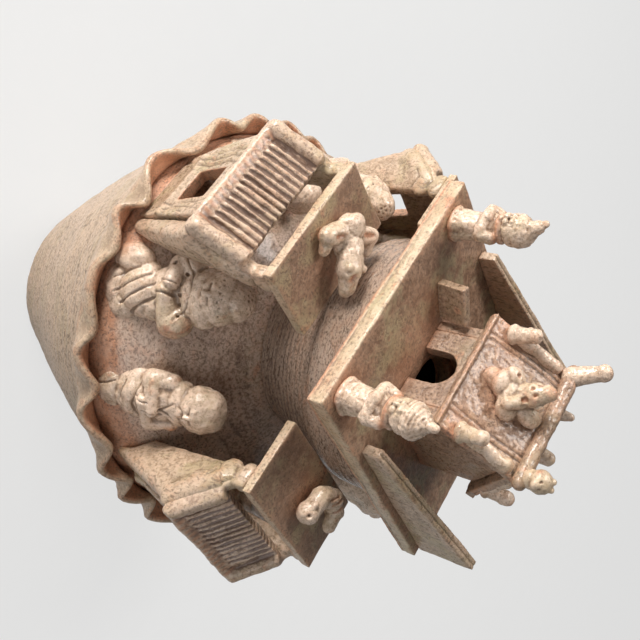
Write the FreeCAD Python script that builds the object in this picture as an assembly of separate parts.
import FreeCAD, Part
import math
import os

# A glazed stoneware funerary jar: a tapering body with a pinched frill, a sloping shoulder with
# four gate towers and eight attendants, a flared neck, and a square platform that carries a
# gabled pavilion. The roof of the pavilion lifts off. Millimetres, +Z up, origin at the centre
# of the base. Each tower is drawn on the front (-Y) side and turned about Z to its place.

V = FreeCAD.Vector

# Jar body: outer radii and heights
jar_sides = 72
base_r = 64.0
foot_r, foot_z = 76.0, 26.0
waist_r, waist_z = 102.0, 79.0
belly_r, belly_z = 116.0, 111.0
max_r = 133.0
upper_r, upper_z = max_r - 6.0, 143.0
band_low_z = 160.0
band_h = 12.0
wall = 7.0
floor_t = 9.0
band_top_z = band_low_z + band_h
body_seam_z = band_low_z + band_h / 2

# Shoulder and neck, as steps in and up from the widest part
shoulder_r1, shoulder_z1 = max_r - 5.0, band_top_z + 14.0
shoulder_r2, shoulder_z2 = max_r - 16.0, band_top_z + 28.0
shoulder_r3, shoulder_z3 = max_r - 32.0, band_top_z + 41.0
shoulder_r4, shoulder_z4 = max_r - 53.0, band_top_z + 54.0
neck_r, neck_z = 56.0, band_top_z + 66.0
neck_mid_r, neck_mid_z = neck_r + 10.0, neck_z + 26.0
slab_top_z = neck_mid_z + 30.0
mouth_r = neck_mid_r + 12.2
rim_r = mouth_r + 1.3

# Pinched collar round the widest part: a thin wall that stands off the shoulder and waves in and
# out, so that it leaves a gutter behind it
frill_waves = 22
frill_wave_points = 6
frill_out_r = max_r + 12.5
frill_pinch = 4.5
frill_t = 4.0
frill_root_h = 8.0
frill_rise = 17.0
frill_wave = 1.5
frill_fit = 0.1

# Square platform on the mouth rim
platform_side = 165.0
platform_top_z = slab_top_z + 38.0
platform_t = 11.0
platform_hole_r = 22.0

# Gate towers
tower_angles = {"front": 0.0, "right": 90.0, "back": 180.0, "left": 270.0}
slab_len = 88.0
slab_t = 6.5
slab_out_r = mouth_r + 48.3
slab_fit = 0.3
tower_base_half = 29.0
tower_base_z = band_top_z + 4.0
tower_top_half = slab_len / 2
cheek_t = 8.0
post_back_r = slab_out_r - 13.5
post_fit = 0.3
roof_back_r, roof_back_z = slab_out_r + 2.2, slab_top_z - 19.0
roof_front_r, roof_front_z = roof_back_r + 23.3, roof_back_z - 25.5
roof_t = 5.0
front_wall_t = 7.0
front_foot_r = max_r - 3.0
window_w, window_h = 24.0, 25.0
window_sill_z = tower_base_z + 30.0
rib_count = 13
rib_r = 2.0
rib_pitch = 4.7
rib_sides = 6
verge_r = 5.0
lip_r = 3.2
roll_sides = 10

# Attendants on the shoulder, a pair in each quarter. Each ring of a body is given as its height,
# half width and half depth, in shares of the figure's height.
figure_sides = 10
figure_foot_r = max_r - 12.0
figure_foot_z = band_top_z + 4.0
figure_clear_z = figure_foot_z + 1.0
figure_fit = 0.3
tall_turn, tall_lean, tall_tilt = -17.0, 13.5, -5.0
small_turn, small_lean, small_tilt = 12.0, 16.0, 9.0
tall_h = 85.0
small_h = 76.0
tall_rings = [(0.0, 0.22, 0.16), (0.12, 0.25, 0.17), (0.28, 0.21, 0.15), (0.42, 0.15, 0.125),
              (0.55, 0.17, 0.13), (0.645, 0.11, 0.10), (0.72, 0.17, 0.14), (0.82, 0.185, 0.15),
              (0.93, 0.13, 0.11), (1.0, 0.04, 0.035)]
elbow_rings = [(0.40, 0.05, 0.05), (0.52, 0.09, 0.09), (0.63, 0.05, 0.05)]
elbow_out, elbow_forward = 0.195, 0.03
small_rings = [(0.0, 0.19, 0.15), (0.15, 0.21, 0.16), (0.35, 0.19, 0.15), (0.5, 0.2, 0.16),
               (0.6, 0.14, 0.12), (0.66, 0.11, 0.10), (0.74, 0.17, 0.15), (0.84, 0.18, 0.155),
               (0.94, 0.12, 0.10), (1.0, 0.04, 0.035)]
folded_rings = [(-0.2, 0.05, 0.05), (0.0, 0.075, 0.07), (0.2, 0.05, 0.05)]
folded_forward, folded_up = 0.13, 0.48

# Guards with pointed caps on the platform
guard_h = 58.0
guard_rings = [(0.0, 0.18, 0.18), (0.2, 0.165, 0.165), (0.42, 0.15, 0.15), (0.5, 0.09, 0.09),
               (0.56, 0.12, 0.125), (0.66, 0.135, 0.14), (0.73, 0.125, 0.13), (0.76, 0.138, 0.14),
               (1.0, 0.035, 0.035)]
sleeve_rings = [(-0.16, 0.05, 0.05), (0.0, 0.07, 0.075), (0.16, 0.05, 0.05)]
sleeve_forward, sleeve_up = 0.1, 0.4
guard_x_left, guard_x_right = 21.5 - platform_side / 2, platform_side / 2 - 15.5
guard_y = 13.5 - platform_side / 2

# Side panels and tablet on the platform
panel_t = 6.5
panel_low_h = 11.0
panel_high_h = 38.0
panel_front_y = -30.0
panel_inset = 5.0
tablet_w, tablet_h, tablet_t = 23.0, 20.0, 6.5
tablet_x, tablet_y, tablet_turn = -26.5, -41.5, 65.0
tablet_lean = 12.0

# Pavilion on the platform
pav_x, pav_y = 12.0, 2.0
pav_w, pav_d = 64.0, 62.0
pav_wall = 7.0
door_w, door_straight_h = 22.0, 14.0
roof_half_x, roof_half_y = 38.7, 40.0
pav_ridge_z = platform_top_z + 72.0
pav_eave_z = platform_top_z + 34.5
lid_t = 5.0
lid_fit = 0.3
ridge_r = 5.5
ridge_sides = 12
ridge_rise = 2.0
coil_r = 4.0
coil_inset = 4.5
horn_h, horn_r, horn_tip_r = 24.0, 5.6, 3.8
horn_tilt = 14.0
ball_r = 7.5
sprite_h, sprite_r = 16.0, 4.8
sprite_run = 0.72

# Small beasts on the slabs and on the roof. Each ring of a lying beast is given as its place along
# the body, its shift sideways, its height, half width and half height; each ring of a sitting one
# as its height, half width and half depth.
beast_sides = 8
beast_slab_r = 96.0
crescent_rings = [(-22.0, 13.0, 7.0, 3.0, 3.0), (-14.0, 6.0, 5.5, 6.0, 5.5), (-3.0, -1.0, 5.5, 9.0, 7.0),
                  (7.0, 0.0, 5.5, 8.0, 6.5), (13.0, 5.0, 6.5, 6.0, 6.0), (19.0, 9.0, 7.0, 3.0, 3.0)]
sitting_rings = [(-8.0, 9.0, 8.0), (0.0, 12.0, 9.0), (7.0, 11.0, 8.0), (12.0, 7.0, 6.0), (17.0, 7.5, 6.5),
                 (22.0, 4.0, 3.5)]
knob_rings = [(-6.0, 5.0, 5.0), (2.0, 6.0, 6.0), (9.0, 5.0, 5.0), (16.0, 3.0, 3.0)]

# Longer than the whole jar, for blocks that only cut
far = 600.0

platform_under_z = platform_top_z - platform_t
slab_under_z = slab_top_z - slab_t
slab_in_r = mouth_r + slab_fit
os.makedirs("parts", exist_ok=True)


def save(shape, name):
    shape.exportStep("parts/" + name + ".step")


def turned(shape, angle):
    copy = shape.copy()
    copy.rotate(V(0, 0, 0), V(0, 0, 1), angle)
    return copy


def inset(points, depth):
    """Profile points moved inwards by depth, square to the profile."""
    moved = []
    for i, (r, z) in enumerate(points):
        r0, z0 = points[max(i - 1, 0)]
        r1, z1 = points[min(i + 1, len(points) - 1)]
        length = math.hypot(r1 - r0, z1 - z0)
        moved.append((r - depth * (z1 - z0) / length, z + depth * (r1 - r0) / length))
    return moved


def oval(height, rx, ry, sides, x=0.0, y=0.0):
    """Corners of a many-sided flat ring, level with the ground."""
    steps = [2 * math.pi * (i + 0.5) / sides for i in range(sides)]
    return [V(x + rx * math.cos(a), y + ry * math.sin(a), height) for a in steps]


def facet(*corners):
    return Part.Face(Part.makePolygon(list(corners) + [corners[0]]))


def solid_of(faces):
    shell = Part.makeShell(faces)
    shell.sewShape()
    solid = Part.makeSolid(shell)
    if solid.Volume < 0:
        solid.reverse()
    return solid


def bands(rings, alike=False):
    """Faces between neighbouring rings. Rings of one shape leave flat four-cornered faces."""
    faces = []
    for low, top in zip(rings, rings[1:]):
        for i in range(len(low)):
            if alike:
                faces.append(facet(low[i - 1], low[i], top[i], top[i - 1]))
            else:
                faces.append(facet(low[i - 1], low[i], top[i]))
                faces.append(facet(low[i - 1], top[i], top[i - 1]))
    return faces


def skin(rings, alike=False):
    """A closed body through rings of equally many corners."""
    return solid_of([facet(*rings[0])] + bands(rings, alike) + [facet(*rings[-1])])


def thrown(profile):
    """A round form from radius and height points."""
    return skin([oval(z, r, r, jar_sides) for r, z in profile], True)


def standing_body(rings, scale, sides):
    """A body through level rings of height, half width and half depth."""
    return skin([oval(z * scale, rx * scale, ry * scale, sides) for z, rx, ry in rings])


def lying_body(rings, sides):
    """A body along X through upright rings."""
    body = skin([oval(place, half_h, half_w, sides, -up, aside) for place, aside, up, half_w, half_h in rings])
    body.rotate(V(0, 0, 0), V(0, 1, 0), 90)
    return body


def rod(radius, sides, start, end):
    """A straight many-sided bar from start to end."""
    bar = skin([oval(z, radius, radius, sides) for z in (0.0, (end - start).Length)], True)
    turn = FreeCAD.Rotation(V(0, 0, 1), end - start)
    bar.rotate(V(0, 0, 0), turn.Axis, math.degrees(turn.Angle))
    bar.translate(start)
    return bar


def jar_profile():
    lower = [(base_r, 0.0), (foot_r, foot_z), (waist_r, waist_z), (belly_r, belly_z),
             (upper_r, upper_z), (max_r, band_low_z)]
    shoulder = [(max_r, band_top_z), (shoulder_r1, shoulder_z1), (shoulder_r2, shoulder_z2),
                (shoulder_r3, shoulder_z3), (shoulder_r4, shoulder_z4)]
    neck = [(neck_r, neck_z), (neck_mid_r, neck_mid_z), (mouth_r, slab_top_z),
            (rim_r, platform_under_z)]
    return lower, shoulder, neck


def jar_solids():
    """The jar filled solid, and its hollow inside."""
    lower, shoulder, neck = jar_profile()
    low_in = [(r, max(z, floor_t)) for r, z in inset(lower[::2], wall)]
    low_in += [(max_r - wall, band_low_z), (max_r - wall, band_top_z)]
    top_in = inset(shoulder[1:] + neck, wall)
    top_in[-1] = (top_in[-1][0], platform_under_z)
    return thrown(lower + shoulder + neck), thrown(low_in + top_in)


def between(shape, low_z, top_z):
    return shape.common(Part.makeBox(2 * far, 2 * far, top_z - low_z, V(-far, -far, low_z)))


# Body, shoulder and neck, thrown separately and joined
jar_full, jar_hollow = jar_solids()
jar_shell = jar_full.cut(jar_hollow)
save(between(jar_shell, 0.0, body_seam_z), "jar_body")
save(between(jar_shell, body_seam_z, neck_z), "jar_shoulder")
save(between(jar_shell, neck_z, platform_under_z), "jar_neck")


def frill_edge(radius, pinch, height, wave):
    """Points of a closed wavy line round the jar."""
    steps = frill_waves * frill_wave_points
    points = []
    for i in range(steps):
        angle = 2 * math.pi * i / steps
        phase = frill_waves * angle
        r = radius + pinch * math.sin(phase)
        points.append(V(r * math.cos(angle), r * math.sin(angle), height + wave * math.cos(phase)))
    return points


def frill():
    seat_r = max_r + frill_fit
    tip_z = band_low_z + frill_root_h + frill_rise
    edges = [frill_edge(seat_r, 0.0, band_low_z, 0.0),
             frill_edge(frill_out_r, frill_pinch, tip_z - frill_t / 2, frill_wave),
             frill_edge(frill_out_r - frill_t, frill_pinch, tip_z, frill_wave),
             frill_edge(seat_r, 0.0, band_low_z + frill_root_h, 0.0)]
    return solid_of(bands(edges + edges[:1]))


save(frill(), "shoulder_frill")

# Platform with the hole that leads down into the jar
half = platform_side / 2
platform = Part.makeBox(platform_side, platform_side, platform_t, V(-half, -half, platform_under_z))
platform = platform.cut(Part.makeCylinder(platform_hole_r, platform_t, V(pav_x, pav_y, platform_under_z)))
save(platform.removeSplitter(), "platform")


def side_prism(points, low_x, top_x):
    """Radius and height points of a tower's side view, drawn across the front."""
    corners = [V(low_x, -r, z) for r, z in points]
    face = Part.Face(Part.makePolygon(corners + corners[:1]))
    return face.extrude(V(top_x - low_x, 0, 0))


def flare(shrink):
    """The wedge that the splayed sides of a tower fit in."""
    rings = []
    for z, width in ((tower_base_z - wall, tower_base_half), (slab_under_z, tower_top_half)):
        w = width - shrink
        rings.append([V(-w, 0, z), V(w, 0, z), V(w, -far, z), V(-w, -far, z)])
    return skin(rings)


run_r = roof_front_r - roof_back_r
run_z = roof_back_z - roof_front_z
roof_run = math.hypot(run_r, run_z)
out_r, out_z = run_z / roof_run, run_r / roof_run
under_front = (roof_front_r - roof_t * out_r, roof_front_z - roof_t * out_z)
under_back = (roof_back_r - roof_t * out_r, roof_back_z - roof_t * out_z)
wall_lean = (under_front[0] - front_foot_r) / (under_front[1] - tower_base_z)


def cheek(side):
    post_front_r = under_back[0] - post_fit
    outline = [(post_back_r, tower_base_z), (post_back_r, slab_under_z), (post_front_r, slab_under_z),
               (post_front_r, under_back[1]), under_back, under_front, (front_foot_r, tower_base_z)]
    block = side_prism(outline, -2 * tower_top_half, 2 * tower_top_half)
    block = block.common(flare(0.0)).cut(flare(cheek_t))
    keep = Part.makeBox(far, far, far, V(0 if side > 0 else -far, -far, 0))
    return block.common(keep).cut(jar_full)


def front_wall():
    outline = [(front_foot_r - front_wall_t, tower_base_z), (front_foot_r, tower_base_z), under_front,
               (under_front[0] - front_wall_t, under_front[1] + front_wall_t * run_z / run_r)]
    block = side_prism(outline, -2 * tower_top_half, 2 * tower_top_half).common(flare(cheek_t))
    window = Part.makeBox(window_w, far, window_h, V(-window_w / 2, -far, window_sill_z))
    return block.cut(window).cut(jar_full)


def tower_roof():
    """Ribbed slope with a lip in front and a rolled verge at each end."""
    half_w = tower_top_half
    plate = [under_front, (roof_front_r, roof_front_z), (roof_back_r, roof_back_z), under_back]
    roof = side_prism(plate, -half_w, half_w)
    top = V(0, -roof_back_r, roof_back_z)
    foot = V(0, -roof_front_r, roof_front_z)
    for i in range(rib_count):
        aside = V((i - (rib_count - 1) / 2) * rib_pitch, 0, 0)
        roof = roof.fuse(rod(rib_r, rib_sides, top + aside, foot + aside))
    for side in (-1, 1):
        edge = V(side * (half_w - verge_r), -out_r, out_z)
        roof = roof.fuse(rod(verge_r, roll_sides, top + edge, foot + edge))
    across_lip = V(half_w, 0, 0)
    roof = roof.fuse(rod(lip_r, roll_sides, foot - across_lip, foot + across_lip))
    above = side_prism([under_front, under_back, (under_back[0], far), (far, far),
                        (far, under_front[1])], -far, far)
    return roof.common(above).removeSplitter()


def slab():
    depth = slab_out_r - slab_in_r
    return Part.makeBox(slab_len, depth, slab_t, V(-slab_len / 2, -slab_out_r, slab_under_z))


def above_ground(shape):
    return shape.cut(Part.makeBox(2 * far, 2 * far, far, V(-far, -far, -far)))


slab_beast = above_ground(lying_body(crescent_rings, beast_sides))
slab_beast.translate(V(0, -beast_slab_r, slab_top_z))
tower_pieces = {
    "left_cheek": cheek(-1),
    "right_cheek": cheek(1),
    "window_wall": front_wall(),
    "ribbed_roof": tower_roof(),
    "slab": slab(),
    "slab_beast": slab_beast,
}
for place, angle in tower_angles.items():
    for piece, shape in tower_pieces.items():
        save(turned(shape, angle), place + "_tower_" + piece)


def tall_attendant():
    """Kneeling attendant: splayed skirt, raised elbows and a domed head."""
    figure = standing_body(tall_rings, tall_h, figure_sides)
    elbow = standing_body(elbow_rings, tall_h, beast_sides)
    for side in (-1, 1):
        arm = elbow.copy()
        arm.translate(V(side * elbow_out * tall_h, -elbow_forward * tall_h, 0))
        figure = figure.fuse(arm)
    return figure


def folded_arms(rings, scale, forward, up):
    """Sleeves laid across the chest."""
    arms = standing_body(rings, scale, beast_sides)
    arms.rotate(V(0, 0, 0), V(0, 1, 0), 90)
    arms.translate(V(0, -forward * scale, up * scale))
    return arms


def small_attendant():
    """Standing attendant with arms folded over a straight robe."""
    robe = standing_body(small_rings, small_h, figure_sides)
    return robe.fuse(folded_arms(folded_rings, small_h, folded_forward, folded_up))


def on_shoulder(figure, lean, tilt, angle):
    shape = figure.copy()
    shape.rotate(V(0, 0, 0), V(0, 1, 0), tilt)
    shape.rotate(V(0, 0, 0), V(1, 0, 0), -lean)
    shape.translate(V(0, -figure_foot_r, figure_foot_z))
    low = Part.makeBox(2 * far, 2 * far, figure_clear_z, V(-far, -far, 0))
    shape = turned(shape.cut(low), angle).cut(jar_full)
    for tower_angle in tower_angles.values():
        shape = shape.cut(turned(tower_block, tower_angle))
    return shape


block_in_r = post_back_r - figure_fit
block_outline = [(block_in_r, 0), (block_in_r, slab_under_z), (far, slab_under_z), (far, 0)]
tower_block = side_prism(block_outline, -far, far).common(flare(-figure_fit))
tall = tall_attendant()
small = small_attendant()
quarters = {"front_right": 45.0, "back_right": 135.0, "back_left": 225.0, "front_left": 315.0}
for place, middle in quarters.items():
    save(on_shoulder(tall, tall_lean, tall_tilt, middle + tall_turn), place + "_tall_attendant")
    save(on_shoulder(small, small_lean, small_tilt, middle + small_turn), place + "_small_attendant")


def guard():
    """Standing guard: robe, sleeves folded over the chest, and a tall pointed cap."""
    robe = standing_body(guard_rings, guard_h, figure_sides)
    return robe.fuse(folded_arms(sleeve_rings, guard_h, sleeve_forward, sleeve_up))


for name, x in (("left_guard", guard_x_left), ("right_guard", guard_x_right)):
    shape = guard()
    shape.translate(V(x, guard_y, platform_top_z))
    save(shape, name)


def side_panel(side):
    """Low wall that rises towards the back along one edge of the platform."""
    x = side * (half - panel_inset) - (panel_t if side > 0 else 0)
    outline = [V(x, panel_front_y, platform_top_z), V(x, half, platform_top_z),
               V(x, half, platform_top_z + panel_high_h), V(x, panel_front_y, platform_top_z + panel_low_h)]
    return Part.Face(Part.makePolygon(outline + outline[:1])).extrude(V(panel_t, 0, 0))


save(side_panel(1), "right_side_panel")
save(side_panel(-1), "left_side_panel")

tablet = Part.makeBox(tablet_w, tablet_t, tablet_h * 1.5, V(-tablet_w / 2, -tablet_t / 2, -tablet_h / 4))
tablet.rotate(V(0, 0, 0), V(1, 0, 0), tablet_lean)
tablet = tablet.common(Part.makeBox(far, far, tablet_h, V(-far / 2, -far / 2, 0)))
tablet.rotate(V(0, 0, 0), V(0, 0, 1), tablet_turn)
tablet.translate(V(tablet_x, tablet_y, platform_top_z))
save(tablet, "standing_tablet")

# Pavilion: two gable walls with a front and a back wall between them
slope = (pav_ridge_z - pav_eave_z) / roof_half_y
pitch = math.atan(slope)
under_ridge_z = pav_ridge_z - lid_t / math.cos(pitch)
seat_ridge_z = under_ridge_z - lid_fit / math.cos(pitch)


def across(points, low_x, top_x):
    """Y and Z points of the pavilion's side view, drawn out along X."""
    corners = [V(low_x, pav_y + y, z) for y, z in points]
    return Part.Face(Part.makePolygon(corners + corners[:1])).extrude(V(top_x - low_x, 0, 0))


def wall_space():
    reach = roof_half_y
    return across([(-reach, platform_top_z), (reach, platform_top_z), (reach, seat_ridge_z - reach * slope),
                   (0, seat_ridge_z), (-reach, seat_ridge_z - reach * slope)], -far, far)


def door_cut():
    low = Part.makeBox(door_w, far, door_straight_h, V(pav_x - door_w / 2, -far, platform_top_z))
    arch = Part.makeCylinder(door_w / 2, far, V(pav_x, -far, platform_top_z + door_straight_h), V(0, 1, 0))
    return low.fuse(arch)


left_x, right_x = pav_x - pav_w / 2, pav_x + pav_w / 2
front_y, back_y = pav_y - pav_d / 2, pav_y + pav_d / 2
space = wall_space()
for name, x in (("left_gable_wall", left_x), ("right_gable_wall", right_x - pav_wall)):
    save(Part.makeBox(pav_wall, pav_d, far, V(x, front_y, platform_top_z)).common(space), name)
inner_w = pav_w - 2 * pav_wall
for name, y in (("pavilion_front_wall", front_y), ("pavilion_back_wall", back_y - pav_wall)):
    shape = Part.makeBox(inner_w, pav_wall, far, V(left_x + pav_wall, y, platform_top_z)).common(space)
    if name == "pavilion_front_wall":
        shape = shape.cut(door_cut())
    save(shape, name)

# Lift-off roof with its ridge, verge rolls and beasts
eave_in, eave_down = lid_t * math.sin(pitch), lid_t * math.cos(pitch)
lid_low_x, lid_top_x = pav_x - roof_half_x, pav_x + roof_half_x
lid_outline = [(-roof_half_y, pav_eave_z), (-roof_half_y + eave_in, pav_eave_z - eave_down),
               (0, under_ridge_z), (roof_half_y - eave_in, pav_eave_z - eave_down),
               (roof_half_y, pav_eave_z), (0, pav_ridge_z)]
lid = across(lid_outline, lid_low_x, lid_top_x)
lid_space = across([(-roof_half_y, pav_eave_z), (0, pav_ridge_z), (roof_half_y, pav_eave_z),
                    (roof_half_y, 0), (-roof_half_y, 0)], -far, far)
save(lid, "roof_lid")

ridge_at_z = pav_ridge_z + ridge_rise
ridge = rod(ridge_r, ridge_sides, V(lid_low_x, pav_y, ridge_at_z), V(lid_top_x, pav_y, ridge_at_z))
ridge = ridge.cut(lid_space)


def slope_point(x, run, above):
    """A point above the roof: run is 0 at the ridge and -1 or 1 at the front or back eave."""
    y = run * roof_half_y
    return V(x, pav_y + y, pav_ridge_z - abs(y) * slope + above)


def verge_roll(x, side):
    """Roll down one edge of the roof, from beside the ridge to the beast near the eave."""
    slope_len = math.hypot(roof_half_y, pav_ridge_z - pav_eave_z)
    start = (ridge_r - ridge_rise * math.sin(pitch) + lid_fit) / slope_len
    end = sprite_run - (sprite_r + coil_r * math.sin(pitch) + lid_fit) / roof_half_y
    roll = rod(coil_r, roll_sides, slope_point(x, side * start, 0.0), slope_point(x, side * end, 0.0))
    return roll.cut(lid_space)


coil_x = (lid_low_x + coil_inset, lid_top_x - coil_inset)
rolls = [verge_roll(x, side) for x in coil_x for side in (-1, 1)]
save(Part.makeCompound(rolls), "verge_rolls")


def horn(height, low_r, tip_r):
    """A short horn with a rounded tip."""
    rings = [(-low_r, low_r, low_r), (0.0, low_r, low_r), (height * 0.55, tip_r, tip_r),
             (height * 0.85, tip_r * 1.1, tip_r * 1.1), (height, tip_r * 0.4, tip_r * 0.4)]
    return standing_body(rings, 1.0, roll_sides)


left_horn = horn(horn_h, horn_r, horn_tip_r)
left_horn.rotate(V(0, 0, 0), V(0, 1, 0), -horn_tilt)
left_horn.translate(V(coil_x[0], pav_y, ridge_at_z))
left_horn = left_horn.cut(ridge).cut(lid_space)
for roll in rolls:
    left_horn = left_horn.cut(roll)
ball = standing_body([(-0.95, 0.3, 0.3), (-0.6, 0.8, 0.8), (0.0, 1.0, 1.0), (0.6, 0.8, 0.8), (0.95, 0.3, 0.3)],
                     ball_r, roll_sides)
ball.translate(V(coil_x[1], pav_y, ridge_at_z + ridge_r + ball_r * 0.6))
right_horn = ball.cut(ridge).cut(lid_space)
save(ridge, "roof_ridge")
save(left_horn, "left_ridge_horn")
save(right_horn, "right_ridge_beast")

for name, run in (("front_verge_beasts", -sprite_run), ("back_verge_beasts", sprite_run)):
    group = []
    for x, side in zip(coil_x, (-1, 1)):
        sprite = horn(sprite_h, sprite_r, sprite_r * 0.8)
        sprite.translate(slope_point(x, run, 0.0))
        group.append(sprite.cut(lid_space))
    save(Part.makeCompound(group), name)


def roof_beast(rings, x, run):
    beast = standing_body(rings, 1.0, beast_sides)
    beast.translate(slope_point(x, run, 0.0))
    return beast.cut(lid_space)


save(roof_beast(sitting_rings, pav_x, -0.5), "front_roof_beast")
rear = [roof_beast(knob_rings, pav_x - 20, 0.42), roof_beast(knob_rings, pav_x + 8, 0.42)]
save(Part.makeCompound(rear), "back_roof_beasts")
